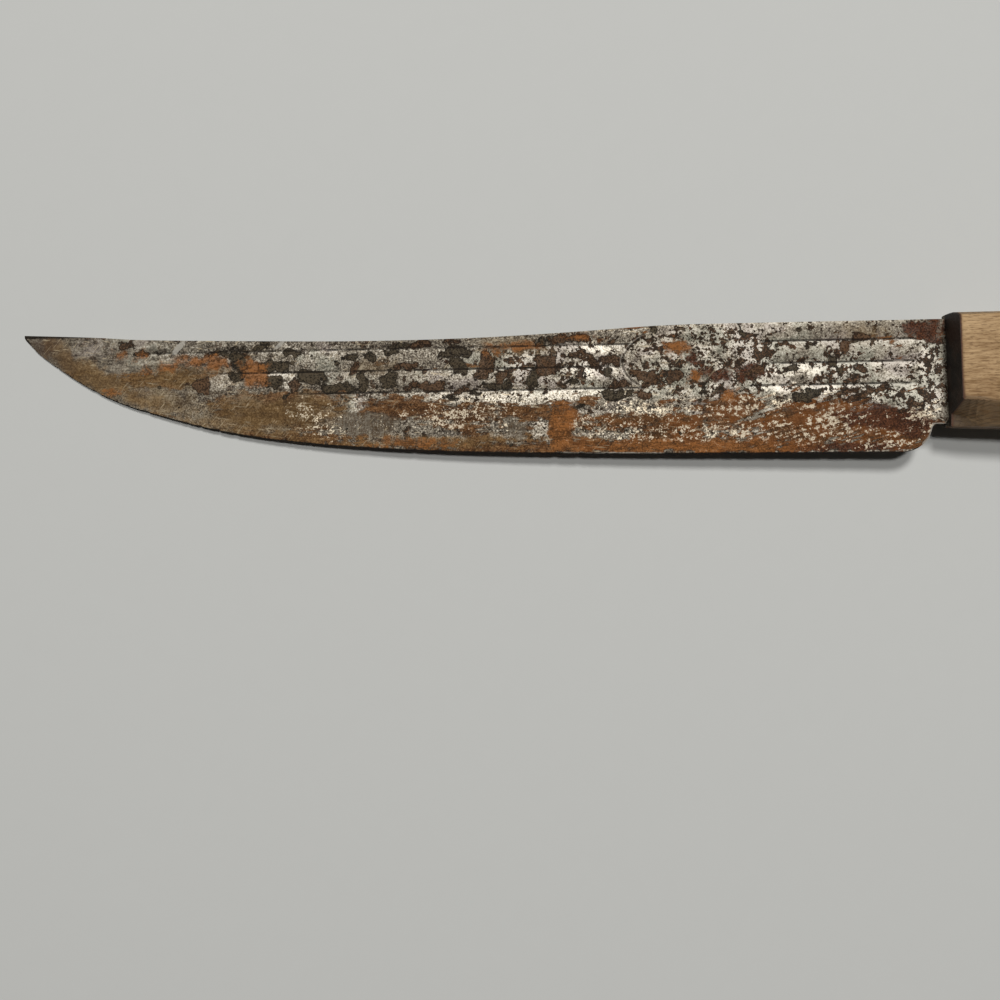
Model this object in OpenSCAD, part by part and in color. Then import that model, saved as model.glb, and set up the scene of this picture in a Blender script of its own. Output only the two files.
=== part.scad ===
// Old butcher knife with a reeded blade, a full tang and two riveted wooden scales.
// It lies on its side: the tip points to -X, the spine faces +Y and the marked face looks up.
// The origin is the centre of the underside of the whole knife's bounding box.

/* [Blade] */
// Length of the blade, from the tip to the front of the handle
blade_len = 254; // [200:1:320]
// Depth of the blade at the heel, from the spine down to the cutting edge
heel_depth = 35.7; // [33:0.1:42]
// Depth of the neck between the heel and the handle
neck_depth = 28.2; // [25:0.1:29]
// Gap between the handle and the back of the heel
neck_len = 4; // [3:0.1:8]
// Radius where the heel's curve meets the neck
neck_fillet = 1.5; // [0.8:0.1:2]
// How far the hollow of the spine dips below its straight rear part
spine_dip = 2.8; // [0.5:0.1:4]
// Thickness of the blade at the handle
blade_t = 2.4; // [2.3:0.1:4]
// Thickness of the blade at the tip
tip_t = 1; // [0.6:0.1:2]
// Thickness of the worn cutting edge
edge_t = 0.3; // [0.2:0.05:0.5]
// Share of the blade's depth that stays unbevelled where the blade is narrow
flat_share = 0.58; // [0.4:0.01:0.65]
// Length over which the edge bevel runs out in front of the handle
bevel_runout = 10; // [4:0.5:20]

/* [Reeds] */
// Number of reeds along each face
reed_count = 3; // [1:1:3]
// Distance from one reed to the next
reed_pitch = 6; // [5:0.1:6.5]
// Distance from the spine to the bottom of the first reed
reed_first = 5; // [4.5:0.1:5.5]
// Width of each reed's slope that faces the spine
reed_slope = 3.2; // [2:0.1:4]
// Depth of a reed
reed_depth = 0.25; // [0.1:0.05:0.4]
// Bare length between the reeds and the handle
reed_heel_gap = 7; // [4:0.5:15]
// Bare length between the tip and the reeds
reed_tip_gap = 18; // [10:1:40]
// Length over which the reeds fade in behind the tip
reed_tip_fade = 30; // [10:1:60]
// Length over which the reeds fade out in front of the handle
reed_heel_fade = 3.5; // [1:0.5:10]

/* [Maker's panel] */
// Length of the bare oval panel on the marked face
panel_len = 40; // [20:1:60]
// Height of the bare oval panel
panel_h = 19.4; // [10:0.1:19.6]
// Distance from the handle to the panel's centre
panel_x = 67; // [40:1:100]
// Distance from the spine to the panel's centre
panel_drop = 10.1; // [10:0.1:10.3]
// How far the panel stands proud of the reeds' ridges
panel_rise = 0.02; // [0.01:0.01:0.05]

/* [Handle] */
// Length of the handle
handle_len = 127; // [110:1:150]
// Height of the handle at its front
handle_h = 30.6; // [30:0.1:36]
// Thickness of the whole handle, tang and both scales
handle_t = 21; // [18:0.5:26]
// Thickness of the tang
tang_t = 2.2; // [1.6:0.1:2.2]
// Distance from the spine to the handle's centre line at its front
handle_drop = 14.2; // [13.5:0.1:15]
// Lean of the handle towards the spine, in degrees
handle_lean = 1.5; // [0:0.1:1.8]
// Height of the bevel along the grip side of each scale
grip_bevel_h = 6.8; // [3:0.1:8]
// Depth of that bevel, down into the scale
grip_bevel_t = 5.4; // [3:0.1:6]
// Length over which that bevel is hollowed at the front of the handle
hollow_run = 9; // [3:0.5:20]
// How much deeper the hollow is than the bevel
hollow_t = 2.8; // [0:0.1:3.5]
// Height of the rounding along the back of each scale
back_round_h = 2.4; // [1:0.1:4]
// Depth of that rounding, down into the scale
back_round_t = 8.6; // [3:0.1:9]
// Radius of the corners at the front of the handle
front_round = 0.3; // [0.1:0.1:2]
// Length over which the pile side's front corner is worn down
pile_wear_run = 5; // [1:0.5:8]
// How far that corner is worn down
pile_wear = 1.4; // [0:0.1:2]
// Length of the rounding at the butt
butt_run = 11; // [6:0.5:14]
// Height of the butt's rounding on the back side
butt_back = 14; // [8:0.5:15]
// Height of the butt's rounding on the grip side
butt_grip = 9; // [5:0.5:12]
// Radius of the butt's rounding towards the scale's flat side
butt_edge = 3; // [1:0.5:4]

/* [Rivets] */
// Distance from the front of the handle to the first rivet
rivet_first = 24; // [15:1:35]
// Distance from one rivet to the next
rivet_pitch = 36; // [25:1:38]
// Diameter of the rivet heads
head_d = 8; // [6:0.5:10]
// Thickness of the rivet heads
head_h = 1.3; // [0.8:0.1:2]
// How far the heads lie below the wood
head_sink = 0.1; // [0:0.05:0.4]
// Outer diameter of the rivet's tube half
barrel_d = 4.8; // [4:0.1:5.5]
// Diameter of the rivet's solid half
stud_d = 3; // [2:0.1:3.4]
// How far the tube reaches past the middle of the tang
barrel_reach = 5; // [2:0.5:7]
// How far the solid half reaches past the middle of the tang
stud_reach = 6.5; // [2:0.5:7]
// Clearance round each rivet and inside its tube
rivet_fit = 0.05; // [0.02:0.01:0.2]

/* [Hidden] */
$fn = 48;

// Spine: share of the way from the tip to the handle, share of the dip
spine_points = [[0, -0.24], [0.08, 0.1], [0.13, 0.42], [0.3, 0.86], [0.39, 0.98],
    [0.5, 0.88], [0.6, 0.52], [0.7, 0.04], [0.78, -0.02], [1, 0]];
// Cutting edge: share of the way from the tip to the heel's curve, share of the heel's depth
edge_points = [[0, 0.01], [0.02, 0.15], [0.085, 0.44], [0.145, 0.6], [0.26, 0.795],
    [0.43, 0.917], [0.65, 0.972], [1, 1]];
// Back of the handle: share of its length, share of its front height above the centre line
back_points = [[0, 0.502], [0.25, 0.478], [0.5, 0.46], [0.72, 0.405], [0.87, 0.375], [1, 0.41]];
// Grip side of the handle: share of its length, share of its front height below the centre line
grip_points = [[0, 0.49], [0.1, 0.516], [0.32, 0.576], [0.55, 0.56], [0.75, 0.53],
    [0.88, 0.64], [1, 0.735]];

blade_steps = 44;      // stations between the tip and the heel
tip_crowding = 1.6;    // how strongly those stations crowd towards the tip
arc_steps = 8;         // steps round each curve of an outline
handle_steps = 20;     // stations along the handle
hollow_steps = 5;      // stations along the hollow at its front
shoulder = 1;          // length in which the blade steps down to the tang
root_len = 1.2;        // how far the blade runs into the tang
root_inset = 0.2;      // how far it lies inside the tang there
tip_crowd_share = 0.04;  // least spacing of the reeds, as a share of the unbevelled depth
cut_over = 1;          // how far a cut or a blank runs past its face
blank_over = 0.4;      // how far a scale's blank stands above its finished flat
bevel_bend_share = 0.13; // share of the grip bevel's height at which it bends down
bevel_end_share = 1.25;  // share of the grip bevel's depth at which it ends
hollow_share = 0.5;      // share of the grip bevel's height at which the hollow is deepest
hollow_end_share = 0.65; // share of the hollow's depth at the foot of the bevel

heel_r = heel_depth - neck_depth;
heel_run = neck_len + heel_r;
heel_reach = sqrt(heel_r * heel_r + 2 * heel_r * neck_fillet);
heel_turn = asin(heel_reach / (heel_r + neck_fillet));
reed_back = reed_pitch - reed_slope;
reed_lines = [for (k = [0:reed_count - 1]) each
    [reed_first + k * reed_pitch - reed_back, reed_first + k * reed_pitch]];
reeds_end = reed_first + (reed_count - 1) * reed_pitch + reed_slope;
half_t = handle_t / 2;
blank_t = half_t + blank_over;
rivet_xs = [for (k = [0:2]) rivet_first + k * rivet_pitch];

// Curve through hand-chosen points, each [place, value]
function slope_at(p, i) =
    let (a = p[max(i - 1, 0)], b = p[min(i + 1, len(p) - 1)])
    (b[1] - a[1]) / (b[0] - a[0]);
function stretch(p, x, i = 0) = (i >= len(p) - 2 || x < p[i + 1][0]) ? i : stretch(p, x, i + 1);
function curve(p, x) =
    let (i = stretch(p, x), a = p[i], b = p[i + 1], h = b[0] - a[0], t = (x - a[0]) / h)
    a[1] * (2 * t * t * t - 3 * t * t + 1)
    + slope_at(p, i) * h * (t * t * t - 2 * t * t + t)
    + b[1] * (3 * t * t - 2 * t * t * t)
    + slope_at(p, i + 1) * h * (t * t * t - t * t);
// Smooth step from 0 at a to 1 at b
function ease(a, b, x) = let (t = min(1, max(0, (x - a) / (b - a)))) t * t * (3 - 2 * t);
function mix(a, b, t) = a + (b - a) * t;
// Fall of an elliptic corner of the given run and height, at a distance from its end
function corner(run, height, d) = d >= run ? 0 : height * (1 - sqrt(1 - pow(1 - d / run, 2)));

// Depths below the straight part of the spine, at a place along the blade
function spine_d(x) = spine_dip * curve(spine_points, 1 + min(x, 0) / blade_len);
function edge_d(x) = heel_depth * curve(edge_points, min(1, (x + blade_len) / (blade_len - heel_run)));
function bevel_d(x) = min(reeds_end, mix(spine_d(x), edge_d(x), flat_share));
function face_z(x) = mix(blade_t, tip_t, -x / blade_len) / 2;
// Share of a reed's full depth at a depth below the spine
function reed(d) =
    let (q = ((d - reed_first) % reed_pitch + reed_pitch) % reed_pitch)
    q < reed_slope ? 1 - q / reed_slope : (q - reed_slope) / reed_back;
function reed_fade(x) =
    ease(reed_tip_gap - blade_len, reed_tip_gap + reed_tip_fade - blade_len, x)
    * (1 - ease(-reed_heel_gap - reed_heel_fade, -reed_heel_gap, x));
function bevel_z(x, d) =
    let (t = (d - bevel_d(x)) / (edge_d(x) - bevel_d(x)))
    mix(mix(face_z(x), edge_t / 2, t), face_z(x), ease(-bevel_runout, -shoulder, x));
function half_z(x, d) =
    d > bevel_d(x) ? bevel_z(x, d) : face_z(x) - reed_depth * reed(d) * reed_fade(x);

// Stations along the blade, each [place, depth of the lower outline]
blade_stations = concat(
    [for (i = [0:blade_steps])
        let (x = (blade_len - heel_run) * pow(i / blade_steps, tip_crowding) - blade_len)
        [x, edge_d(x)]],
    [for (i = [1:arc_steps])
        let (a = heel_turn * i / arc_steps)
        [heel_r * sin(a) - heel_run, neck_depth + heel_r * cos(a)]],
    [for (i = [1:arc_steps])
        let (a = heel_turn * (1 - i / arc_steps))
        [heel_reach - heel_run - neck_fillet * sin(a), neck_depth + neck_fillet * (1 - cos(a))]],
    [[-shoulder, neck_depth]]);
// Depths of the ring of points at a station, from the spine to the lower outline
function depths(x, low) =
    let (s = spine_d(x), b = bevel_d(x), g = tip_crowd_share * (b - s), n = len(reed_lines))
    concat([s],
        [for (i = [0:n - 1]) min(max(reed_lines[i], s + (i + 1) * g), b - (n - i) * g)],
        [b, low]);
function blade_ring(x, low) =
    let (ds = depths(x, low), n = len(ds))
    concat([for (d = ds) [x, -d, half_z(x, d)]],
        [for (i = [n - 1:-1:0]) [x, -ds[i], -half_z(x, ds[i])]]);
function root_ring(x, half) =
    [for (p = blade_ring(-shoulder, neck_depth))
        [x, mix(p[1], -neck_depth / 2, x > 0 ? root_inset : 0), sign(p[2]) * half]];

// Handle outline, as distances from its centre line
function back_y(x) =
    handle_h * curve(back_points, x / handle_len)
    - corner(front_round, front_round, x) - corner(butt_run, butt_back, handle_len - x);
function grip_y(x) =
    handle_h * curve(grip_points, x / handle_len)
    - corner(front_round, front_round, x) - corner(butt_run, butt_grip, handle_len - x);
function mid_y(x) = (back_y(x) - grip_y(x)) / 2;
handle_xs = concat(
    [0],
    [for (i = [0:hollow_steps - 1]) mix(front_round, hollow_run, i / hollow_steps)],
    [for (i = [0:handle_steps - 1])
        mix(hollow_run, handle_len - butt_run, i / handle_steps)],
    [for (i = [0:arc_steps]) handle_len - butt_run * (1 - sin(90 * i / arc_steps))]);
function scale_ring(x, wear) =
    let (t = back_y(x) - corner(pile_wear_run, wear, x), b = grip_y(x),
        z = blank_t - corner(butt_edge, butt_edge, handle_len - x),
        round_t = min(back_round_t, z - tang_t),
        bevel_t = min(grip_bevel_t, (z - tang_t) / bevel_end_share),
        hollow = 1 - ease(0, hollow_run, x),
        bend = mix(bevel_bend_share, hollow_share, hollow),
        bend_t = min(bevel_t + hollow_t * hollow, z - tang_t),
        end_t = min(bevel_end_share * bevel_t + hollow_end_share * hollow_t * hollow, z - tang_t),
        inner = tang_t / 2 - cut_over)
    concat([[x, t, inner]],
        [for (a = [0:22.5:90])
            [x, t - back_round_h * (1 - cos(a)), z - round_t * (1 - sin(a))]],
        [[x, grip_bevel_h - b, z],
            [x, bend * grip_bevel_h - b, z - bend_t],
            [x, -b, z - end_t],
            [x, -b, inner]]);

// Extent of the knife, which sets where its origin lies
function turned(p) = [
    p[0] * cos(handle_lean) - p[1] * sin(handle_lean),
    p[0] * sin(handle_lean) + p[1] * cos(handle_lean) - handle_drop];
outline_reach = concat(
    [for (x = handle_xs) turned([x, back_y(x)])],
    [for (x = handle_xs) turned([x, -grip_y(x)])],
    [for (s = blade_stations) [s[0], -spine_d(s[0])]],
    [for (s = blade_stations) [s[0], -s[1]]]);
x_reach = [for (p = outline_reach) p[0]];
y_reach = [for (p = outline_reach) p[1]];
x_shift = -(min(x_reach) + max(x_reach)) / 2;
y_shift = -(min(y_reach) + max(y_reach)) / 2;

// Solid through a row of rings that all have the same even number of points
module loft(rings) {
    m = len(rings[0]);
    n = len(rings);
    last = (n - 1) * m;
    polyhedron(
        points = [for (r = rings) each r],
        faces = concat(
            [for (j = [0:m / 2 - 2]) each [[j, j + 1, m - 2 - j], [j, m - 2 - j, m - 1 - j]]],
            [for (k = [0:n - 2]) for (j = [0:m - 1])
                let (a = k * m + j, b = k * m + (j + 1) % m)
                each [[a, a + m, b + m], [a, b + m, b]]],
            [for (j = [0:m / 2 - 2]) each [
                [last + j, last + m - 2 - j, last + j + 1],
                [last + j, last + m - 1 - j, last + m - 2 - j]]]));
}

module in_place() {
    translate([x_shift, y_shift, half_t]) children();
}

module in_handle() {
    translate([0, -handle_drop, 0]) rotate([0, 0, handle_lean]) children();
}

module at_rivets() {
    for (x = rivet_xs) translate([x, mid_y(x), 0]) children();
}

module blade_body() {
    loft(concat(
        [for (s = blade_stations) blade_ring(s[0], s[1])],
        [root_ring(-shoulder / 2, tang_t / 2 - root_inset / 4)],
        [root_ring(root_len, tang_t / 2 - root_inset)]));
}

// Bare oval on the marked face, level with the tapering face
module panel() {
    half = panel_len / 2;
    taper = atan((blade_t - tip_t) / 2 / blade_len);
    translate([-panel_x, -spine_d(-panel_x) - panel_drop, 0])
        rotate([0, -taper, 0])
            linear_extrude(face_z(-panel_x) + panel_rise)
                polygon([for (a = [0:7.5:352.5]) [half * cos(a), panel_h / 2 * sin(a)]]);
}

module tang() {
    linear_extrude(tang_t, center = true)
        polygon(concat(
            [for (x = handle_xs) [x, back_y(x)]],
            [for (i = [len(handle_xs) - 1:-1:0]) [handle_xs[i], -grip_y(handle_xs[i])]]));
}

module rivet_hole() {
    cylinder(d = barrel_d + 2 * rivet_fit, h = handle_t + 2 * cut_over, center = true);
}

module blade() {
    color("dimgray") {
        blade_body();
        panel();
        in_handle() difference() {
            tang();
            at_rivets() rivet_hole();
        }
    }
}

module wood(wear = 0) {
    color("burlywood") in_handle() difference() {
        intersection() {
            loft([for (x = handle_xs) scale_ring(x, wear)]);
            translate([-cut_over, -2 * handle_h, tang_t / 2])
                cube([handle_len + 2 * cut_over, 4 * handle_h, half_t - tang_t / 2]);
        }
        at_rivets() {
            rivet_hole();
            translate([0, 0, half_t - head_sink - head_h])
                cylinder(d = head_d + 2 * rivet_fit, h = head_h + cut_over);
        }
    }
}

module mark_side_scale() {
    wood();
}

module pile_side_scale() {
    mirror([0, 0, 1]) wood(pile_wear);
}

// Solid half of a rivet, its head in the marked side
module stud(k) {
    x = rivet_xs[k];
    head_z = half_t - head_sink - head_h;
    color("darkgoldenrod") in_handle() translate([x, mid_y(x), 0]) {
        translate([0, 0, head_z]) cylinder(d = head_d, h = head_h);
        translate([0, 0, -stud_reach]) cylinder(d = stud_d, h = head_z + stud_reach);
    }
}

// Tube half of a rivet, its head in the pile side
module barrel(k) {
    x = rivet_xs[k];
    head_z = half_t - head_sink - head_h;
    color("goldenrod") in_handle() translate([x, mid_y(x), 0]) difference() {
        union() {
            translate([0, 0, -head_z - head_h]) cylinder(d = head_d, h = head_h);
            translate([0, 0, -head_z]) cylinder(d = barrel_d, h = head_z + barrel_reach);
        }
        translate([0, 0, -stud_reach - cut_over])
            cylinder(d = stud_d + 2 * rivet_fit, h = stud_reach + barrel_reach + 2 * cut_over);
    }
}

in_place() blade();
in_place() mark_side_scale();
in_place() pile_side_scale();
in_place() stud(0);  // front_rivet_stud
in_place() barrel(0);  // front_rivet_barrel
in_place() stud(1);  // middle_rivet_stud
in_place() barrel(1);  // middle_rivet_barrel
in_place() stud(2);  // rear_rivet_stud
in_place() barrel(2);  // rear_rivet_barrel
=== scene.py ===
"""Looks of an old butcher knife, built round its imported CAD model.

The blade is a reeded slab of rusted carbon steel, gripped by two worn beech
scales and three two-part brass rivets. Everything is in metres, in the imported
model's own frame: X runs from the point to the butt, Y from the cutting edge to
the spine and Z through the thickness, with the marked side up.
"""

import logging
import math
from collections.abc import Callable, Mapping, Sequence
from dataclasses import dataclass
from enum import Enum
from typing import Any

import bmesh
import bpy
import numpy as np
from bmesh.types import BMEdge
from bpy.types import Material, NodeSocket, Object, World, bpy_prop_collection
from mathutils import Matrix, Vector, noise


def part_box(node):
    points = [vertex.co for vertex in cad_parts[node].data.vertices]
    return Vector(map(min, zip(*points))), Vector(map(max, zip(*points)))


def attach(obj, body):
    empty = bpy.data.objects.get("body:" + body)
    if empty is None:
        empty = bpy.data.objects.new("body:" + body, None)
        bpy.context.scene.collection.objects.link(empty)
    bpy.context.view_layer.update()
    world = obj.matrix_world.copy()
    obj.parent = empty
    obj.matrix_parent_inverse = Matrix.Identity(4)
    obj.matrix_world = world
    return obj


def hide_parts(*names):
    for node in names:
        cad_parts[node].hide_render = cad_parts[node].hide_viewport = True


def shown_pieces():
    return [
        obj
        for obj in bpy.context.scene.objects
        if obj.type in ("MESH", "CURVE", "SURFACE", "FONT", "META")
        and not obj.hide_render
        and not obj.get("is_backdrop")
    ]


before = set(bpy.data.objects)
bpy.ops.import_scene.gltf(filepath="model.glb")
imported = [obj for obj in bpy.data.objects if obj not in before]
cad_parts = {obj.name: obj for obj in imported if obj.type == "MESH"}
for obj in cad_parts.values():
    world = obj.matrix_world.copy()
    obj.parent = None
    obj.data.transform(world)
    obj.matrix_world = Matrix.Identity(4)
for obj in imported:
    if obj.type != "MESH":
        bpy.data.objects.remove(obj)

log = logging.getLogger("butcher_knife")

MM = 0.001
MIDDLE = 10.5  # height of the tang's middle, in millimetres
RIVET_HEAD = 4.0  # a rivet head's radius, in millimetres
RIVETS = ("front", "middle", "rear")
BODY = "root"
Colour = tuple[float, float, float]
Shades = tuple[Colour, ...]
Points = np.ndarray


class Side(Enum):
    """The two broad sides of the knife, by the way their faces look."""

    MARK = 1
    PILE = -1


class Stain(Enum):
    """The kinds of mark that age has left on the blade."""

    OXIDE = "oxide"
    BROWN = "brown"
    ORANGE = "orange"
    RUST = "rust"
    RED = "red"
    BRIGHT = "bright"
    SILVER = "silver"
    CREAM = "cream"
    OLIVE = "olive"
    PITS = "pits"
    HATCH = "hatch"
    GLINT = "glint"
    GOLD = "gold"


@dataclass(frozen=True)
class Patch:
    """A mark on the blade: a blunt ellipse, in millimetres and degrees."""

    x: float
    y: float
    length: float
    height: float
    lean: float = 0.0

    def depth(self, x: Points, y: Points) -> Points:
        """Measures how many mm inside the border each point lies, negative outside."""
        turn = math.radians(self.lean)
        along = (x - self.x) * math.cos(turn) + (y - self.y) * math.sin(turn)
        across = (y - self.y) * math.cos(turn) - (x - self.x) * math.sin(turn)
        half_length, half_height = self.length / 2, self.height / 2
        reach = np.cbrt(np.abs(along / half_length) ** 3 + np.abs(across / half_height) ** 3)
        return (1 - reach) * min(half_length, half_height)


def patches(*rows: Sequence[float]) -> tuple[Patch, ...]:
    """Makes a patch of each row of places and sizes."""
    return tuple(Patch(*row) for row in rows)


STAINS: dict[Stain, tuple[Patch, ...]] = {
    Stain.OXIDE: patches(
        (-185.5, 17, 10.6, 0.6), (-157.6, 12.1, 10.8, 1.4), (-133, 11.4, 13.5, 2.2),
        (-131.1, 13.2, 4.5, 1.4), (-123.3, 13.6, 3.6, 2.5), (-129.7, 8.9, 3.9, 3.9),
        (-130.5, 5, 6.5, 3.4), (-120.3, 7.7, 8.1, 3.1), (-120.3, 3.2, 4.6, 3.6),
        (-109.5, 4.4, 8.4, 4.2), (-102.2, 1.6, 9.8, 3.1), (-115, 11.2, 4.8, 2.5),
        (-102, 8.9, 1.7, 1.7), (-99.1, 10.1, 3.4, 2.5), (-93.6, 9.8, 4.6, 2.8),
        (-95.4, 3, 3.9, 5), (-88.3, 2.7, 5.8, 4.7), (-82.7, 13.1, 11.6, 1.9),
        (-86.8, 11.4, 5.3, 1.7), (-72.3, 10, 3.9, 2.8), (-69, 6.7, 5, 5.2),
        (-67.6, 10.7, 6.6, 3.3), (-70.6, -1.4, 4.1, 1.7), (-65, -0.6, 4.4, 1.7),
        (-58.6, 1.6, 10.5, 2.5), (-48.5, 3.9, 3, 5.8), (-45.9, 13.6, 3.6, 2.2),
        (-38.1, 2, 3.6, 1.9), (-26.8, -1.9, 4.9, 3.3), (-22.7, -1.7, 2.7, 2.2),
        (-35.9, -5.3, 3.3, 2.2), (22.1, 4.7, 4.3, 1.9), (18.3, 10.7, 1.3, 1.1),
        (26.7, 10.2, 3.9, 1.2, 25), (28, -1.9, 4.3, 3), (24.8, -3.6, 6.2, 3.2),
        (-1.6, -0.7, 5, 1.2, 60), (2.5, -0.5, 3.6, 1.2, 60), (8.7, -1.4, 5.1, 1, 20),
        (32.9, 6.7, 3.8, 3),
    ),
    Stain.BROWN: patches(
        (-79.6, 12.9, 5.8, 2.2), (-70.4, 13.8, 4.7, 1.7), (-82.7, 6.7, 8, 1.9),
        (-77.9, 1.4, 13.3, 2.5), (-67.7, 0.2, 3.3, 2.8), (-61.8, 6.7, 7.7, 3.4, 70),
        (-57.2, 3.8, 4.4, 3), (-44.8, 6.7, 6.6, 6.6), (-36.6, 9, 3, 2.7),
        (-32.4, 7.7, 8.6, 2.2, -55), (-26.9, 7.3, 6.6, 2.5), (-25, 1.3, 6.3, 2.5),
        (-37.8, 13.7, 13.1, 2.7), (-27, 13.1, 5.3, 1.6, 15), (-18.1, -1.9, 3.8, 3),
        (-19.2, 3.1, 4.1, 3), (-16.6, 2.8, 4.4, 4.4), (-10, 2.4, 4.6, 3.6, 40),
        (-45.4, -12.6, 1, 1), (12.8, 4.4, 7.5, 2, 30), (41.3, 4.2, 2.9, 2.7),
        (42.7, -2.4, 16, 1.7, 17), (55, -5.9, 9.7, 1.5, 17), (34.3, -3.2, 9.1, 1.6, 22),
        (40, 12.7, 4.8, 2.1), (-114.4, 2.8, 2.8, 3.4), (-140.2, 2.1, 5.1, 5.1),
        (-162.2, 14.1, 6.5, 2), (-97.8, 7.2, 3.3, 2.8),
    ),
    Stain.ORANGE: patches(
        (-164, 11.6, 2.6, 2.2), (-157.2, 11.4, 3, 1.6), (-140.5, 10.1, 13, 3.2),
        (-135.5, 8.7, 8, 2.6), (-150, 8, 5, 1.4), (-155, 7.5, 4, 1.6), (-165.5, 1.2, 2.6, 1.2),
        (-125.2, 5.6, 6.7, 7), (-52.2, 12.2, 8.1, 1.9, 8), (-59.5, 11.4, 3.9, 2.2),
        (-40.6, -10.4, 6.6, 11), (-34.8, 14.1, 6.6, 1.9), (-8.9, 11.2, 6.1, 4),
        (-3.6, 3, 3.3, 3.6), (5.4, -2.6, 4, 3.4), (-6, -16.3, 50, 3), (-82.9, -14.3, 16.6, 2.5),
    ),
    Stain.RUST: patches(
        (-152, 4.8, 25, 4.5), (-118.1, -2.2, 36.4, 5.6), (-121.1, -5.7, 18.2, 6.2),
        (-83.8, -4.4, 22.2, 6.7), (-66.1, -6.5, 17.7, 5.8), (-50.4, -6, 17, 4.7),
        (-40.1, -10.3, 8.2, 11.2), (-12, -9.4, 53, 4.1), (5.1, -6.5, 18.7, 7.6),
        (-117.4, -12.5, 46, 3.6, -3), (-16.5, -15.9, 160, 4.1), (26.5, -9.9, 30.5, 12, 9),
        (45.8, -11.3, 21.4, 9.1), (-11.2, -14, 19, 7.9), (50.6, -15.1, 16, 7.2),
    ),
    Stain.BRIGHT: patches(
        (-149.4, 10.4, 5, 2.4), (-32, 5, 11, 4), (-32, 11, 10, 3), (-97, -3.5, 4, 5),
        (58.5, 3, 5.5, 20), (-115.3, 13.3, 5.2, 1.8, 20), (-136, 4.2, 6.4, 5),
        (-139.6, 5.4, 4.5, 1.7), (-117.7, 5.2, 5.6, 2.5), (-116.5, 2, 2.5, 4.5),
        (-118.9, -0.8, 10.1, 2.2), (-74.1, -1.8, 21.6, 3.3), (-46.9, -1.9, 39.3, 4.1),
        (22.5, 3.9, 14.8, 3.5), (29.7, -1.4, 14.2, 3), (17.5, -0.2, 12.9, 3.8),
        (52.9, -3.3, 8.5, 5.3), (48.8, 1.4, 12.9, 2.6), (47.5, -3, 13.7, 4.3),
        (36, 5.4, 24, 1.3), (-46.4, -10.7, 6, 5),
    ),
    Stain.SILVER: patches(
        (-161, 14.6, 26.1, 3.7), (-171.8, 13.2, 10.2, 4.2), (-157.9, 2.3, 13.3, 3.6),
        (-155.6, 9.8, 9.1, 3.6), (-106.9, 10.1, 12.6, 7.8), (-33.7, -5.3, 15.3, 3.3),
        (-97, -3.5, 7, 7), (-72.9, 3.2, 17.1, 4.7), (-102.3, 4.5, 13.9, 3.3),
        (-44, 6, 50, 13.5), (0.4, 5.8, 44, 20.1), (45.9, 1.4, 40, 26.8), (8.4, 13.7, 40, 8),
        (5, -6, 20, 6.5),
    ),
    Stain.CREAM: patches(
        (-109, -7.2, 5.6, 5.4), (-104.6, -9.2, 4.4, 3.2), (-113, -4.6, 3.6, 2.8),
        (-66.1, -6.1, 17.7, 5), (-73.1, -7.8, 13.8, 3), (-19.2, -6, 13.6, 4.1),
        (-17.1, -12.3, 15.4, 3.3, -6), (-3.8, -13.5, 12.6, 2.6, -4), (-34.8, -10.4, 6, 3.6),
        (-14, -5.8, 20.9, 3.5), (4, -11.6, 34, 2.4), (6.3, -6, 14.6, 4.9),
        (21.7, -13.8, 32.1, 3), (33.1, -10.3, 11, 5.4), (48.7, -15.4, 7, 3.2),
        (57.6, -8.1, 7.5, 7.7), (29.3, -5.7, 11.8, 4), (18.2, -4.7, 11.3, 4.6),
    ),
    Stain.OLIVE: patches(
        (-186.7, 14.3, 7.1, 4.8), (-181, 11.5, 10, 6, -35), (-172.2, 5.4, 18.3, 7, -28),
        (41.5, 13.9, 9.4, 4), (-54, 12.4, 16, 4.4), (-91.7, 6.8, 10.6, 2.8),
        (-127.7, -7.6, 34.2, 6.4, -4), (-152.7, -0.7, 25, 7, -16), (-120, -3.5, 34, 8),
        (-174, 7.5, 22, 6, -33), (-183, 14, 9, 4.5), (-146, 5.5, 20, 7, -12),
    ),
    Stain.PITS: patches(
        (12.1, 7.5, 12, 16), (-6.4, 2.5, 24, 10), (-14, 11.5, 16, 6), (34.9, 4, 14, 9),
        (43, -3.5, 30, 6), (-46.7, 6, 30, 11), (-2, 8, 40, 17), (58, 2, 8, 26),
    ),
    Stain.HATCH: patches((-94.5, -8.6, 19, 6.5, -4), (-53.2, -10.6, 6.6, 5.2)),
    Stain.GLINT: patches(
        (-147, 13.5, 5.2, 1.6, 48), (-118.6, 13.7, 3.8, 1.2, 42), (-113.3, 14.6, 2.4, 0.4, 62),
    ),
    Stain.GOLD: patches(
        (-182.8, 14.7, 5.1, 5), (-175.9, 8.5, 15, 6, -38), (-167.3, 4.8, 15, 5.6, -28),
        (-159.7, 0.2, 24, 3.6, -20), (-147, 5.2, 38, 4.6), (-119, -5.4, 38, 7.6),
        (-125, -10.4, 40, 2.4, -9), (-77, -13.9, 60, 3),
    ),
    Stain.RED: patches(
        (50.2, -9.7, 20, 6.6, -14), (39.5, -8.9, 12, 3.8), (1.8, 3.5, 7, 3.8),
        (10.8, 3.5, 8.1, 3.4, 8), (-4.6, 8, 4, 3), (57, 14.9, 10, 3.6), (58, 12.7, 6, 3.6),
        (38, -17, 26, 2.6),
    ),
}


def srgb(*levels: float) -> Colour:
    """Turns a colour, given from 0 to 255, into the renderer's linear one."""
    shares = (level / 255 for level in levels)
    return tuple(
        share / 12.92 if share <= 0.04045 else ((share + 0.055) / 1.055) ** 2.4
        for share in shares
    )


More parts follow.
